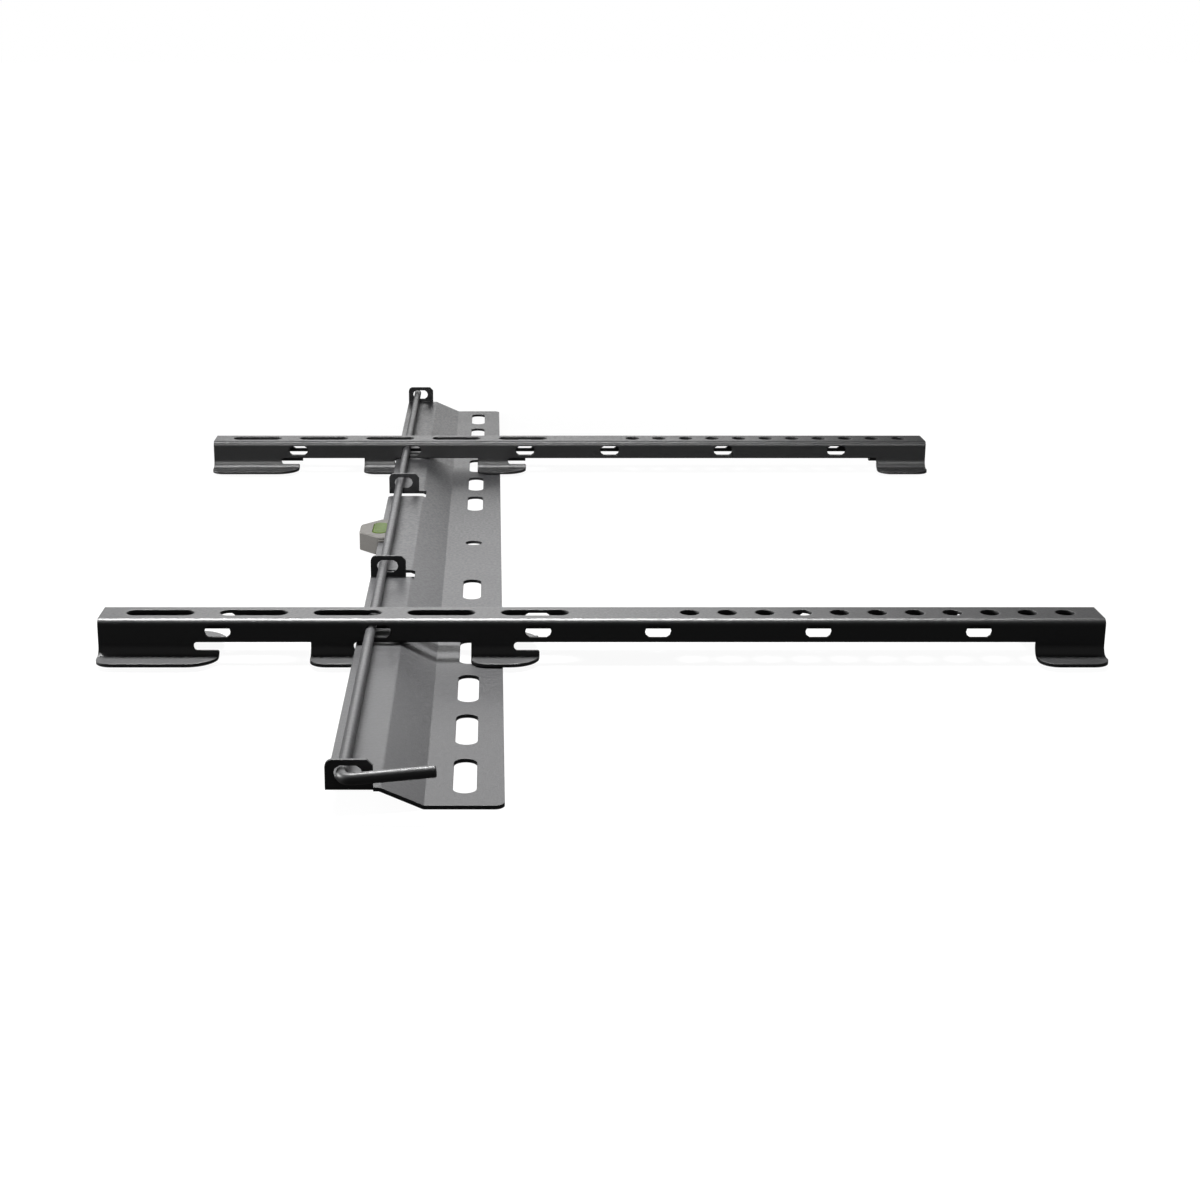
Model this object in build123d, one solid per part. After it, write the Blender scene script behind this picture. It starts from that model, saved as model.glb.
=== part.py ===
from build123d import *
import math
import os

# Fixed wall bracket for a flat screen: a slotted wall plate with a raised ledge, two hooked arms
# that hang on the ledge, a rod that locks them in place, and a small spirit level.
# Frame: Z = 0 is the wall, +Z points away from it, +Y runs along the plate and +X is down in use.
# The origin is the middle of the row of wall slots.

# Sheet metal
sheet = 1.6
bend = 1.2

# Wall plate
plate_length = 782.0
flat_width = 31.2
flat_corner = 4.0
slope_run = 16.8
ledge_width = 20.6
slot_pitch = 53.0
slot_first = 95.0
slot_pairs = 6
slot_length = 37.0
slot_width = 9.4

# Ears and tabs that carry the rod
ear_width = 18.4
ear_bend = 0.4
ear_rim = 2.3
ear_round = 3.0
ear_chamfer = 2.4
ear_hole_length = 10.8
tab_place = 97.0
notch_length = 11.5
notch_over = 4.4
notch_corner = 3.0

# Lock rod
rod_diameter = 4.8
rod_room = 0.85
rod_inset = 6.7
rod_tip_past = 6.0
rod_bend = 5.0
rod_end_chamfer = 0.5
handle_length = 36.2
handle_gap = 1.5
handle_tilt = 5.5

# Arms
arm_length = 471.0
arm_place = 200.0
web_width = 22.8
flange_depth = 11.0
lip_drop = 3.55
lip_bend = 4.5
lip_reach = 14.5
lip_corner = 8.0
tip_corner = 14.0
tip_round = 0.8
corner_room = 0.5
mouth_round = 1.8
hook_pitch = 75.0
hook_count = 3
mouth_first = 44.6
tongue_length = 12.0
hook_body = 20.0
foot_length = 32.0
side_slot_length = 12.0
side_slot_room = 0.55
side_slot_drop = 5.9
side_slot_lead = 11.4
side_slot_second = 262.0
chord_count = 10
web_slot_first = 27.9
web_slot_pitch = 44.2
web_slot_count = 5
web_slot_length = 32.0
web_slot_width = 9.0
web_hole_first = 277.7
web_hole_pitch = 17.7
web_hole_count = 11
web_hole = 9.0

# How the arms sit on the plate
arm_gap = 0.35
tongue_gap = 1.9
ledge_gap = 0.6
seat_gap = 1.2

# Spirit level
level_length = 42.0
level_nose = 16.0
level_reach = 11.5
level_inset = 6.0
level_height = 10.4
level_rise = 2.6
level_corner = 4.0
level_back_corner = 1.0
level_edge = 0.6
rim_width = 1.4
rim_height = 1.1
level_fit = 0.15
level_place = -5.0
vial_length = 24.0
vial_width = 8.2
vial_height = 7.2
vial_edge = 0.5
vial_wall = 1.1
vial_room = 0.1
vial_proud = 0.3
fluid_room = 0.05
bubble_length = 7.0
bubble_depth = 1.4
bubble_round = 2.2

# Cuts run past the faces they go through, and places this near each other are the same
overrun = 1.0
same_place = 0.01

# Places worked out from the sizes
plate_end = plate_length / 2
flat_edge = flat_width / 2
ledge_inner = -flat_edge - slope_run
ledge_edge = ledge_inner - ledge_width
mouth_height = tongue_gap + sheet + ledge_gap
arm_depth = flange_depth + mouth_height + lip_drop
web_top = sheet + arm_gap + arm_depth
ledge_under = sheet + arm_gap + lip_drop + tongue_gap
ledge_top = ledge_under + sheet
rod_x = ledge_edge + rod_inset
rod_z = web_top - side_slot_drop
ear_hole_height = rod_diameter + 2 * rod_room
ear_top = rod_z + ear_hole_height / 2 + ear_rim
ear_reach = ear_bend + sheet
side_slot_height = rod_diameter + 2 * side_slot_room
arm_start = ledge_edge - seat_gap - mouth_first - hook_pitch
arm_end = arm_start + arm_length
lip_edge = web_width / 2 + lip_reach
widest_corner = lip_reach - lip_bend - corner_room
widest_mouth_round = (mouth_height - corner_room) / 2
level_top = ledge_top + level_rise
vial_top = level_top + vial_proud
vial_bore = vial_height - 2 * vial_wall
vial_bore_z = vial_top - vial_height / 2
through = 4 * plate_length


def rounded_face(corners):
    # A flat outline in its own plane, each corner given as across, up and corner radius
    face = make_face(Polyline(*[(across, up) for across, up, radius in corners], close=True))
    for across, up, radius in corners:
        if radius > 0:
            place = Vector(across, up, 0)
            corner = face.vertices().sort_by(lambda vertex: (Vector(vertex) - place).length)[0]
            face = fillet(corner, radius)
    return face


def along_y(face, start, end):
    # A section drawn in X and Z, carried along Y from start to end
    return Pos(0, end, 0) * extrude(Plane.XZ * face, end - start)


def along_x(face, start, end):
    # A section drawn in Y and Z, carried along X from start to end
    return Pos(start, 0, 0) * extrude(Plane.YZ * face, end - start)


def along_z(face, start, end):
    # A plan drawn in X and Y, carried up from start to end
    return Pos(0, 0, start) * extrude(face, end - start)


def obround(length, width):
    return SlotOverall(length, width) if length > width else Circle(width / 2)


def chorded_slot(length, width):
    # A slot with straight chords for its round ends, light enough to repeat many times
    straight = length - width
    ends = RegularPolygon(width / 2, chord_count, major_radius=False)
    return Rectangle(straight, width) + Pos(-straight / 2, 0) * ends + Pos(straight / 2, 0) * ends


def box_between(low, high):
    size = [b - a for a, b in zip(low, high)]
    middle = [(a + b) / 2 for a, b in zip(low, high)]
    return Pos(*middle) * Box(*size)


def is_near(value, place):
    return abs(value - place) < same_place


# Wall plate: the folded strip
def plate_strip():
    angle = math.atan2(ledge_under, slope_run)
    mitre = sheet * math.tan(angle / 2)
    outside = bend + sheet
    section = rounded_face([
        (flat_edge, 0, 0),
        (-flat_edge, 0, outside),
        (ledge_inner, ledge_under, bend),
        (ledge_edge, ledge_under, 0),
        (ledge_edge, ledge_top, 0),
        (ledge_inner + mitre, ledge_top, outside),
        (-flat_edge + mitre, sheet, bend),
        (flat_edge, sheet, 0),
    ])
    strip = along_y(section, -plate_end, plate_end)
    corners = strip.edges().filter_by(Axis.Z).sort_by(Axis.X)[-2:]
    return fillet(corners, flat_corner)


# Wall plate: one upright bent from the ledge, with its rod hole
def upright(outer_face, towards_ledge):
    attach = outer_face + towards_ledge * (ear_reach + sheet)
    inner_face = outer_face + towards_ledge * sheet
    outer = rounded_face([
        (attach, ledge_under, 0),
        (outer_face, ledge_under, ear_reach),
        (outer_face, ear_top, 0),
        (attach, ear_top, 0),
    ])
    inner = rounded_face([
        (attach, ledge_top, 0),
        (inner_face, ledge_top, ear_bend),
        (inner_face, ear_top, 0),
        (attach, ear_top, 0),
    ])
    ear = along_x(outer - inner, ledge_edge, ledge_edge + ear_width)
    tops = ear.edges().filter_by(Axis.Y).group_by(Axis.Z)[-1].sort_by(Axis.X)
    ear = fillet(tops[0], ear_round)
    tops = ear.edges().filter_by(Axis.Y).group_by(Axis.Z)[-1].sort_by(Axis.X)
    ear = chamfer(tops[-1], ear_chamfer)
    hole_x = rod_x + (ear_hole_length - ear_hole_height) / 2
    hole = Pos(hole_x, rod_z) * chorded_slot(ear_hole_length, ear_hole_height)
    return ear - along_y(hole, outer_face - through / 2, outer_face + through / 2)


# Plan of the level's block: wide on the ledge, narrow at the nose, grown by a margin
def level_plan(margin):
    half = level_length / 2 + margin
    nose = level_nose / 2 + margin
    right = ledge_edge + level_inset + margin
    left = ledge_edge - level_reach - margin
    return Pos(0, level_place) * rounded_face([
        (right, -half, level_back_corner),
        (right, half, level_back_corner),
        (ledge_edge, half, level_corner),
        (left, nose, level_corner),
        (left, -nose, level_corner),
        (ledge_edge, -half, level_corner),
    ])


def wall_plate():
    plate = plate_strip()
    ear_side = ledge_edge + ear_width
    notch_side = ear_side + notch_over
    tab_inner = tab_place - sheet
    notch_end = tab_inner - notch_length
    for side in (-1, 1):
        # End ear: the ledge turns up at the plate's end
        low, high = sorted((side * (plate_end - ear_reach), side * through))
        plate -= box_between((ledge_edge - overrun, low, 0), (ear_side, high, ear_top))
        plate += upright(side * plate_end, -side)
        # Middle tab: lanced out of a notch that opens at the ledge's edge
        low, high = sorted((side * notch_end, side * (tab_inner + ear_reach)))
        plate -= box_between((ledge_edge - overrun, low, 0), (notch_side, high, ear_top))
        low, high = sorted((side * tab_place, side * (tab_inner + ear_reach)))
        plate += box_between((ear_side, low, ledge_under), (notch_side, high, ledge_top))
        plate += upright(side * tab_inner, side)
    # The ledge's corner beside each notch is rounded
    uprights = plate.edges().filter_by(Axis.Z)
    at_edge = uprights.filter_by(lambda edge: is_near(edge.center().X, ledge_edge))
    corners = at_edge.filter_by(lambda edge: is_near(abs(edge.center().Y), notch_end))
    plate = fillet(corners, notch_corner)
    # Wall slots along the flat strip, and a centre hole of the same width
    for pair in range(slot_pairs):
        for side in (-1, 1):
            place = side * (slot_first + pair * slot_pitch)
            slot = Pos(0, place) * Rot(0, 0, 90) * obround(slot_length, slot_width)
            plate -= along_z(slot, -overrun, sheet + overrun)
    plate -= along_z(Circle(slot_width / 2), -overrun, sheet + overrun)
    # Cut-out in the ledge's edge that the level drops into
    return plate - along_z(level_plan(level_fit), ledge_under - overrun, ledge_top + overrun)


# Arm: half of the hat shape, from the web's middle to the lip, then its mirror image
def arm_section():
    half = web_width / 2
    room = half - sheet
    low = web_top - arm_depth
    right = rounded_face([
        (0, web_top, 0),
        (half, web_top, bend + sheet),
        (half, low + sheet, lip_bend),
        (lip_edge, low + sheet, 0),
        (lip_edge, low, 0),
        (room, low, lip_bend + sheet),
        (room, web_top - sheet, bend),
        (0, web_top - sheet, 0),
    ])
    return right + mirror(right, Plane.YZ)


# Side view of the arm: the channel's flange, the hooks with their mouths, and the foot
def arm_outline():
    flange_low = web_top - flange_depth
    mouth_low = flange_low - mouth_height
    mouth_end = min(mouth_round, widest_mouth_round)
    low = web_top - arm_depth - overrun
    high = web_top + overrun
    shape = rounded_face([
        (arm_start, flange_low, 0),
        (arm_end, flange_low, 0),
        (arm_end, high, 0),
        (arm_start, high, 0),
    ])
    for hook in range(hook_count):
        inner_end = arm_start + mouth_first + hook * hook_pitch
        back = arm_start if hook == 0 else inner_end - hook_body
        tip = inner_end + tongue_length
        shape += rounded_face([
            (back, low, 0),
            (tip, low, 0),
            (tip, mouth_low, tip_round),
            (inner_end, mouth_low, mouth_end),
            (inner_end, flange_low, mouth_end),
            (tip, flange_low, 0),
            (tip, high, 0),
            (back, high, 0),
        ])
    shape += rounded_face([
        (arm_end - foot_length, low, 0),
        (arm_end, low, 0),
        (arm_end, flange_low, 0),
        (arm_end - foot_length, flange_low, 0),
    ])
    return shape


# What is cut from a lip at a hook's tip, so that it ends in one sweep from flange to lip edge
def tip_cut(hook):
    tip = arm_start + mouth_first + hook * hook_pitch + tongue_length
    radius = min(tip_corner, lip_reach)
    side = radius + overrun
    waste = Rectangle(side, side, align=(Align.MIN, Align.MIN)) - Circle(radius)
    return along_z(Pos(tip - radius, lip_edge - radius) * waste, 0, web_top)


# Upright edges at the lips' outer corners
def lip_corners(body):
    uprights = body.edges().filter_by(Axis.Z)
    return uprights.filter_by(lambda edge: is_near(abs(edge.center().Y), lip_edge))


def arm():
    body = along_x(arm_section(), arm_start, arm_end)
    body = body & along_y(arm_outline(), -through / 2, through / 2)
    # The lips end in a sweep at the tips, and their other corners are rounded as far as the flat part allows
    for hook in range(hook_count):
        waste = tip_cut(hook)
        body -= waste
        body -= mirror(waste, Plane.XZ)
    body = fillet(lip_corners(body), min(lip_corner, widest_corner))
    # Side slots through both flanges: one over each mouth, then a second row towards the foot
    side_slot = chorded_slot(side_slot_length, side_slot_height)
    for first in (mouth_first + side_slot_lead, side_slot_second):
        for step in range(hook_count):
            place = Pos(arm_start + first + step * hook_pitch, rod_z)
            body -= along_y(place * side_slot, -through / 2, through / 2)
    # Slots and round holes in the web for the screen's screws
    below = web_top - sheet - overrun
    above = web_top + overrun
    for step in range(web_slot_count):
        place = Pos(arm_start + web_slot_first + step * web_slot_pitch, 0)
        body -= along_z(place * obround(web_slot_length, web_slot_width), below, above)
    for step in range(web_hole_count):
        place = Pos(arm_start + web_hole_first + step * web_hole_pitch, 0)
        body -= along_z(place * Circle(web_hole / 2), below, above)
    return body


# Lock rod: a straight run through ears and arms, then a bend into the handle
def lock_rod():
    handle_y = -plate_end - handle_gap - rod_bend
    tilt = math.radians(handle_tilt)
    tip = (rod_x, plate_end + rod_tip_past, rod_z)
    corner = (rod_x, handle_y, rod_z)
    grip = (rod_x + handle_length * math.cos(tilt), handle_y, rod_z + handle_length * math.sin(tilt))
    path = FilletPolyline(tip, corner, grip, radius=rod_bend)
    section = Plane(origin=tip, z_dir=(0, -1, 0)) * Circle(rod_diameter / 2)
    rod = sweep(section, path)
    ends = [rod.faces().sort_by(Axis.Y)[-1], rod.faces().sort_by(Axis.X)[-1]]
    return chamfer([edge for face in ends for edge in face.edges()], rod_end_chamfer)


# Spirit level: a round bar along Y on the axis of the vial's bore
def bore_bar(diameter, length):
    return Pos(ledge_edge, level_place, vial_bore_z) * Rot(90, 0, 0) * Cylinder(diameter / 2, length)


# Spirit level: plan of the vial, grown by a margin
def vial_plan(margin):
    shape = obround(vial_length + 2 * margin, vial_width + 2 * margin)
    return Pos(ledge_edge, level_place) * Rot(0, 0, 90) * shape


def level_housing():
    block = along_z(level_plan(0), level_top - level_height, level_top)
    block = chamfer(block.faces().sort_by(Axis.Z)[-1].edges(), level_edge)
    # The rim rests on the ledge round the cut-out
    rim = along_z(level_plan(rim_width), ledge_top, ledge_top + rim_height)
    rim &= box_between((ledge_edge, -through, 0), (through, through, web_top))
    # The vial stands in a pocket that is open at the top
    floor = vial_top - vial_height - vial_room
    return block + rim - along_z(vial_plan(vial_room), floor, level_top + overrun)


def level_vial():
    vial = along_z(vial_plan(0), vial_top - vial_height, vial_top)
    vial = chamfer(vial.faces().sort_by(Axis.Z)[-1].edges(), vial_edge)
    return vial - bore_bar(vial_bore, vial_length - vial_width)


def level_fluid():
    diameter = vial_bore - 2 * fluid_room
    bubble_z = vial_bore_z + diameter / 2 - bubble_depth + bubble_round
    bubble = Pos(ledge_edge, level_place, bubble_z) * Rot(90, 0, 0) * Cylinder(bubble_round, bubble_length)
    return bore_bar(diameter, vial_length - vial_width - 2 * fluid_room) - bubble


os.makedirs("parts", exist_ok=True)
one_arm = arm()
export_step(wall_plate(), "parts/wall_plate.step")
export_step(Pos(0, -arm_place, 0) * one_arm, "parts/arm_left.step")
export_step(Pos(0, arm_place, 0) * one_arm, "parts/arm_right.step")
export_step(lock_rod(), "parts/lock_rod.step")
export_step(level_housing(), "parts/level_housing.step")
export_step(level_vial(), "parts/level_vial.step")
export_step(level_fluid(), "parts/level_fluid.step")
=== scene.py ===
import math

import bpy
import numpy as np
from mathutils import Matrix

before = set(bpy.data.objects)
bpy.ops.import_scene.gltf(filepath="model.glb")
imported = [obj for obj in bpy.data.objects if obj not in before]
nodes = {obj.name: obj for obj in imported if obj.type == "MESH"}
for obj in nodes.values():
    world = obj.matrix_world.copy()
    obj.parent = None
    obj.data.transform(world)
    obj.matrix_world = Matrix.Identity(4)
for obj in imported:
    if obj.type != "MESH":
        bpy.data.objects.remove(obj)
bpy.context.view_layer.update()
scene = bpy.context.scene
scene.view_settings.view_transform = "Standard"
print("frame loaded with", len(nodes), "nodes")


# small helpers for node trees

# sockets of a colour mix, by number because its other kinds share their names
colourMix = {"factor": 0, "first": 6, "second": 7, "result": 2}


def newMaterial(name):
    material = bpy.data.materials.new(name)
    material.use_nodes = True
    material.node_tree.nodes.clear()
    return material, material.node_tree


def addNode(tree, kind, values=None, **settings):
    node = tree.nodes.new(kind)
    for key, value in settings.items():
        setattr(node, key, value)
    for key, value in (values or {}).items():
        node.inputs[key].default_value = value
    return node


def addNoise(tree, scale, detail, roughness):
    # on object coordinates, so that the pattern moves with its piece
    place = addNode(tree, "ShaderNodeTexCoord")
    noise = addNode(tree, "ShaderNodeTexNoise", {
        "Scale": scale, "Detail": detail, "Roughness": roughness})
    tree.links.new(place.outputs["Object"], noise.inputs["Vector"])
    return noise.outputs["Fac"]


def mixColours(tree, factor, first, second):
    mix = addNode(tree, "ShaderNodeMix", data_type="RGBA")
    mix.inputs[colourMix["first"]].default_value = first
    mix.inputs[colourMix["second"]].default_value = second
    tree.links.new(factor, mix.inputs[colourMix["factor"]])
    return mix.outputs[colourMix["result"]]


def grainNormal(tree, grain, c):
    # the grain's bump, over edges that the shading rounds
    edge = addNode(tree, "ShaderNodeBevel", {"Radius": c["edgeRound"]}, samples=c["edgeSamples"])
    bump = addNode(tree, "ShaderNodeBump", {
        "Strength": c["grainStrength"], "Distance": c["grainDepth"]})
    tree.links.new(grain, bump.inputs["Height"])
    tree.links.new(edge.outputs["Normal"], bump.inputs["Normal"])
    return bump.outputs["Normal"]


def showSurface(tree, shader, kind="ShaderNodeOutputMaterial"):
    out = addNode(tree, kind)
    tree.links.new(shader.outputs[0], out.inputs["Surface"])


def dress(nodeName, material):
    mesh = nodes[nodeName].data
    for slot in range(len(mesh.materials)):
        mesh.materials[slot] = material


# camera: the photo's eye point, with the lens axis off the picture's middle

photoCamera = {
    "imagePixels": 1200.0,
    "focalPixels": 1969.0,
    "axisPixelX": 493.4,
    "place": (0.0112, -1.0891, 0.2905),
    "downDegrees": 16.52,
    "sensor": 36.0,
    "clipStart": 0.01,
}


def makeCamera(c):
    data = bpy.data.cameras.new("photoCamera")
    data.sensor_width = c["sensor"]
    data.sensor_fit = "HORIZONTAL"
    data.lens = c["sensor"] * c["focalPixels"] / c["imagePixels"]
    data.shift_x = (c["imagePixels"] / 2 - c["axisPixelX"]) / c["imagePixels"]
    data.clip_start = c["clipStart"]
    camera = bpy.data.objects.new("photoCamera", data)
    camera.location = c["place"]
    camera.rotation_euler = (math.radians(90 - c["downDegrees"]), 0, 0)
    scene.collection.objects.link(camera)
    scene.camera = camera


makeCamera(photoCamera)
print("camera placed")


# studio: a white floor and sky, a soft box overhead, a panel behind the object, a low box at
# the left, and weak lamps for the far end, the far arm's front and the level

studio = {
    "white": (1, 1, 1, 1),
    "floorHalf": 12.0,
    "floorDrop": 0.0003,
    "floorGlowNear": 0.94,
    "floorGlowFar": 1.02,
    "floorFadeFrom": 0.25,
    "floorFadeTo": 0.60,
    "floorGlossShare": 0.06,
    "floorColour": (0.05, 0.05, 0.05, 1),
    "floorColourUnseen": (0.01, 0.01, 0.01, 1),
    "skySeen": 1.0,
    "skyFill": 0.20,
    "lamps": [
        # name, place, target, width, depth, watts, spread in degrees
        ("overheadBox", (-0.22, 0.14, 1.0), (-0.22, -0.19, 0), 1.00, 0.22, 10.0, 55.0),
        ("backPanel", (-0.05, 3.0, 0.60), (0, 0, 0.1), 1.36, 1.1, 10.8, 180.0),
        ("farCard", (-0.05, 0.75, 0.25), (-0.03, 0.2, 0.02), 0.80, 0.20, 0.013, 22.0),
        ("farFront", (0.0, -1.5, 0.9), (0.03, 0.19, 0.012), 0.90, 0.06, 0.35, 10.0),
        ("leftBox", (-1.6, 0.3, 0.45), (0, 0, 0), 0.6, 0.4, 36.0, 180.0),
        ("levelCard", (-0.35, -0.15, 0.12), (-0.06, -0.01, 0.008), 0.05, 0.05, 0.08, 30.0),
    ],
}


def directRays(tree, path):
    # one for camera and transmission rays, nothing for the rest
    direct = addNode(tree, "ShaderNodeMath", operation="MAXIMUM")
    tree.links.new(path.outputs["Is Camera Ray"], direct.inputs[0])
    tree.links.new(path.outputs["Is Transmission Ray"], direct.inputs[1])
    return direct.outputs[0]


def makeFloor(c):
    # a square grid: x and y run over plus and minus the half width, z is one constant
    ends = np.array([-c["floorHalf"], c["floorHalf"]])
    across, along = np.meshgrid(ends, ends)
    level = np.full(across.size, -c["floorDrop"])
    points = np.stack([across.ravel(), along.ravel(), level], axis=1)
    mesh = bpy.data.meshes.new("studioFloor")
    mesh.from_pydata(points.tolist(), [], [(0, 1, 3, 2)])
    floor = bpy.data.objects.new("studioFloor", mesh)
    scene.collection.objects.link(floor)
    # the glow rises with distance from the object, so that the floor meets the sky with no edge
    material, tree = newMaterial("studioFloor")
    place = addNode(tree, "ShaderNodeTexCoord")
    distance = addNode(tree, "ShaderNodeVectorMath", operation="LENGTH")
    tree.links.new(place.outputs["Object"], distance.inputs[0])
    fade = addNode(tree, "ShaderNodeMapRange", {
        "From Min": c["floorFadeFrom"], "From Max": c["floorFadeTo"],
        "To Min": c["floorGlowNear"], "To Max": c["floorGlowFar"],
    }, interpolation_type="SMOOTHSTEP")
    tree.links.new(distance.outputs["Value"], fade.inputs["Value"])
    # the glow is whole for the eye, a small share for glossy rays and nothing for the rest
    path = addNode(tree, "ShaderNodeLightPath")
    gloss = addNode(tree, "ShaderNodeMath", {1: c["floorGlossShare"]}, operation="MULTIPLY")
    tree.links.new(path.outputs["Is Glossy Ray"], gloss.inputs[0])
    seen = addNode(tree, "ShaderNodeMath", operation="MAXIMUM")
    tree.links.new(directRays(tree, path), seen.inputs[0])
    tree.links.new(gloss.outputs[0], seen.inputs[1])
    strength = addNode(tree, "ShaderNodeMath", operation="MULTIPLY")
    tree.links.new(seen.outputs[0], strength.inputs[0])
    tree.links.new(fade.outputs["Result"], strength.inputs[1])
    glow = addNode(tree, "ShaderNodeEmission", {"Color": c["white"]})
    tree.links.new(strength.outputs[0], glow.inputs["Strength"])
    # paler where the camera looks, so that it takes the shadow, and dark to every other ray
    tone = mixColours(tree, path.outputs["Is Camera Ray"], c["floorColourUnseen"], c["floorColour"])
    paint = addNode(tree, "ShaderNodeBsdfDiffuse")
    tree.links.new(tone, paint.inputs["Color"])
    both = addNode(tree, "ShaderNodeAddShader")
    tree.links.new(glow.outputs[0], both.inputs[0])
    tree.links.new(paint.outputs[0], both.inputs[1])
    showSurface(tree, both)
    mesh.materials.append(material)


def makeSky(c):
    # white to the eye, and a weak fill for every other ray
    world = bpy.data.worlds.new("studioSky")
    scene.world = world
    world.use_nodes = True
    tree = world.node_tree
    tree.nodes.clear()
    path = addNode(tree, "ShaderNodeLightPath")
    seen = addNode(tree, "ShaderNodeBackground", {"Color": c["white"], "Strength": c["skySeen"]})
    fill = addNode(tree, "ShaderNodeBackground", {"Color": c["white"], "Strength": c["skyFill"]})
    mix = addNode(tree, "ShaderNodeMixShader")
    tree.links.new(directRays(tree, path), mix.inputs[0])
    tree.links.new(fill.outputs[0], mix.inputs[1])
    tree.links.new(seen.outputs[0], mix.inputs[2])
    showSurface(tree, mix, "ShaderNodeOutputWorld")


def makeLamps(c):
    for name, place, target, width, depth, watts, spread in c["lamps"]:
        data = bpy.data.lights.new(name, "AREA")
        data.shape = "RECTANGLE"
        data.size = width
        data.size_y = depth
        data.energy = watts
        data.spread = math.radians(spread)
        lamp = bpy.data.objects.new(name, data)
        lamp.location = place
        towards = np.array(target, float) - np.array(place, float)
        flat = math.hypot(towards[0], towards[1])
        turn = math.atan2(towards[1], towards[0]) - math.pi / 2
        lamp.rotation_euler = (math.atan2(flat, -towards[2]), 0, turn)
        lamp.visible_camera = False
        scene.collection.objects.link(lamp)


makeFloor(studio)
makeSky(studio)
makeLamps(studio)
print("studio lit")


# powder coat: the plate's, and what differs from it on the arms and the rod; the arms' darker tone
# is painted shade

blackCoat = {
    "dark": (0.012, 0.012, 0.013, 1),
    "pale": (0.023, 0.023, 0.024, 1),
    "specular": 0.36,
    "roughLow": 0.40,
    "roughHigh": 0.50,
    "cloudScale": 26.0,
    "cloudDetail": 3.0,
    "cloudNoiseRough": 0.55,
    "cloudShare": 0.15,
    "grainScale": 620.0,
    "grainDetail": 2.0,
    "grainNoiseRough": 0.6,
    "grainDepth": 0.00016,
    "grainStrength": 0.40,
    "noiseLow": 0.40,
    "noiseHigh": 0.60,
    "edgeRound": 0.00035,
    "edgeSamples": 6,
}
# the arms: the plate's coat with a darker tone, which is painted shade that keeps their webs as
# dark as the plate under the overhead box
armCoatPaintedShade = dict(
    blackCoat,
    dark=(0.004, 0.004, 0.0045, 1),
    pale=(0.009, 0.009, 0.0095, 1),
    specular=0.54,
    roughLow=0.41,
    roughHigh=0.49,
    grainStrength=0.08,
    edgeRound=0.0009,
)
rodCoat = dict(
    blackCoat,
    dark=(0.016, 0.016, 0.017, 1),
    pale=(0.028, 0.028, 0.029, 1),
    specular=0.40,
    grainStrength=0.18,
    edgeRound=0.0002,
)


def makePowderCoat(name, c):
    # fine orange peel from one noise, slow clouds of tone and gloss from another
    material, tree = newMaterial(name)
    cloud = addNoise(tree, c["cloudScale"], c["cloudDetail"], c["cloudNoiseRough"])
    grain = addNoise(tree, c["grainScale"], c["grainDetail"], c["grainNoiseRough"])
    rest = addNode(tree, "ShaderNodeMath", {1: 1 - c["cloudShare"]}, operation="MULTIPLY")
    tree.links.new(grain, rest.inputs[0])
    blend = addNode(tree, "ShaderNodeMath", {1: c["cloudShare"]}, operation="MULTIPLY_ADD")
    tree.links.new(cloud, blend.inputs[0])
    tree.links.new(rest.outputs[0], blend.inputs[2])
    gloss = addNode(tree, "ShaderNodeMapRange", {
        "From Min": c["noiseLow"], "From Max": c["noiseHigh"],
        "To Min": c["roughLow"], "To Max": c["roughHigh"]})
    tree.links.new(blend.outputs[0], gloss.inputs["Value"])
    tone = mixColours(tree, blend.outputs[0], c["dark"], c["pale"])
    paint = addNode(tree, "ShaderNodeBsdfPrincipled", {"Specular IOR Level": c["specular"]})
    tree.links.new(tone, paint.inputs["Base Color"])
    tree.links.new(gloss.outputs["Result"], paint.inputs["Roughness"])
    tree.links.new(grainNormal(tree, grain, c), paint.inputs["Normal"])
    showSurface(tree, paint)
    return material


# the level: its moulded block, its clear capsule and the fluid inside

greyPlastic = {
    "dark": (0.042, 0.0402, 0.0373, 1),
    "pale": (0.058, 0.0557, 0.0522, 1),
    "roughness": 0.60,
    "specular": 0.12,
    "grainScale": 900.0,
    "grainDetail": 3.0,
    "grainNoiseRough": 0.6,
    "grainDepth": 0.00006,
    "grainStrength": 0.25,
    "edgeRound": 0.0003,
    "edgeSamples": 6,
}


def makeMouldedPlastic(name, c):
    # spark-textured moulding: tone and bump share one fine noise
    material, tree = newMaterial(name)
    grain = addNoise(tree, c["grainScale"], c["grainDetail"], c["grainNoiseRough"])
    tone = mixColours(tree, grain, c["dark"], c["pale"])
    moulding = addNode(tree, "ShaderNodeBsdfPrincipled", {
        "Roughness": c["roughness"], "Specular IOR Level": c["specular"]})
    tree.links.new(tone, moulding.inputs["Base Color"])
    tree.links.new(grainNormal(tree, grain, c), moulding.inputs["Normal"])
    showSurface(tree, moulding)
    return material


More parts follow.
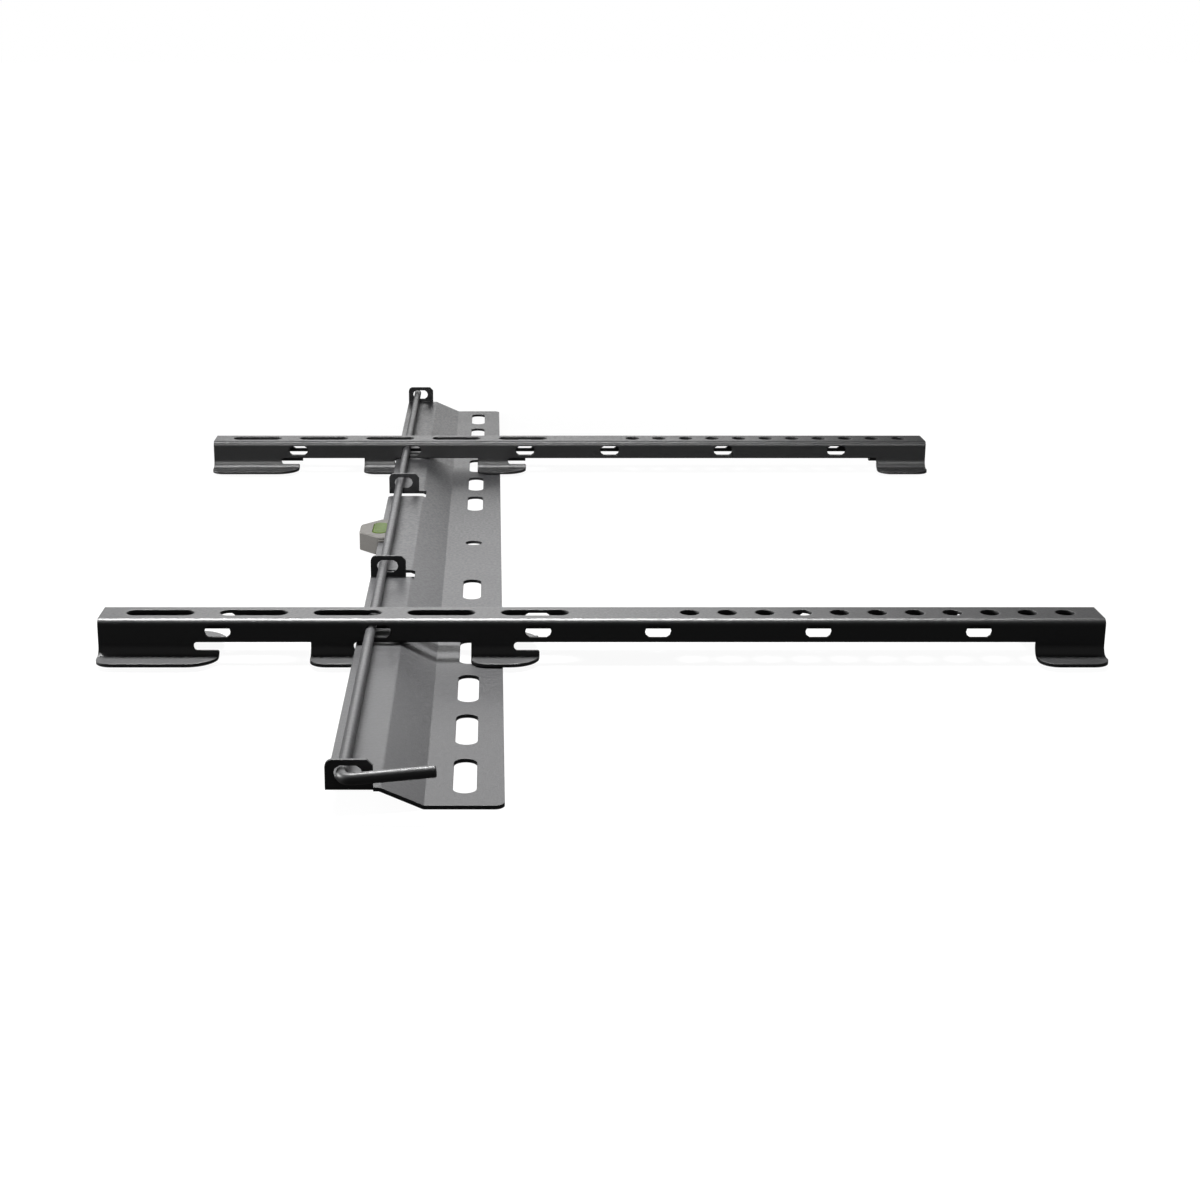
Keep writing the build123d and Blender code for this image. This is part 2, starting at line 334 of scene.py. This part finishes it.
vialLook = {
    "clear": (0.034, 0.058, 0.003, 1),
    "hazy": (0.015, 0.028, 0.001, 1),
    "roughLow": 0.28,
    "roughHigh": 0.42,
    "ior": 1.15,
    "through": 0.3,
    "specular": 0.15,
    "hazeScale": 260.0,
    "hazeDetail": 2.0,
    "hazeNoiseRough": 0.5,
}


def makeClear(name, c):
    # moulded clear plastic: flow marks vary its tint and its gloss a little
    material, tree = newMaterial(name)
    haze = addNoise(tree, c["hazeScale"], c["hazeDetail"], c["hazeNoiseRough"])
    gloss = addNode(tree, "ShaderNodeMapRange", {
        "To Min": c["roughLow"], "To Max": c["roughHigh"]})
    tree.links.new(haze, gloss.inputs["Value"])
    tone = mixColours(tree, haze, c["clear"], c["hazy"])
    clear = addNode(tree, "ShaderNodeBsdfPrincipled", {
        "IOR": c["ior"],
        "Transmission Weight": c["through"],
        "Specular IOR Level": c["specular"]})
    tree.links.new(tone, clear.inputs["Base Color"])
    tree.links.new(gloss.outputs["Result"], clear.inputs["Roughness"])
    showSurface(tree, clear)
    return material


fluidLook = {
    "deep": (0.10, 0.30, 0.01, 1),
    "bright": (0.40, 0.72, 0.05, 1),
    "roughness": 0.06,
    "ior": 1.36,
    "through": 0.55,
    "swirlScale": 120.0,
    "swirlDetail": 1.0,
    "swirlNoiseRough": 0.5,
}


def makeFluid(name, c):
    # dyed spirit: slow swirls between a deep and a bright green
    material, tree = newMaterial(name)
    swirl = addNoise(tree, c["swirlScale"], c["swirlDetail"], c["swirlNoiseRough"])
    tone = mixColours(tree, swirl, c["deep"], c["bright"])
    fluid = addNode(tree, "ShaderNodeBsdfPrincipled", {
        "Roughness": c["roughness"],
        "IOR": c["ior"],
        "Transmission Weight": c["through"]})
    tree.links.new(tone, fluid.inputs["Base Color"])
    showSurface(tree, fluid)
    return material


dress("wall_plate", makePowderCoat("blackCoat", blackCoat))
# the arms take the coat whose darker tone is painted shade
armPaintedShadeMaterial = makePowderCoat("armCoatPaintedShade", armCoatPaintedShade)
dress("arm_left", armPaintedShadeMaterial)
dress("arm_right", armPaintedShadeMaterial)
dress("lock_rod", makePowderCoat("rodCoat", rodCoat))
dress("level_housing", makeMouldedPlastic("greyPlastic", greyPlastic))
dress("level_vial", makeClear("vialClear", vialLook))
dress("level_fluid", makeFluid("levelFluid", fluidLook))
print("finishes on")
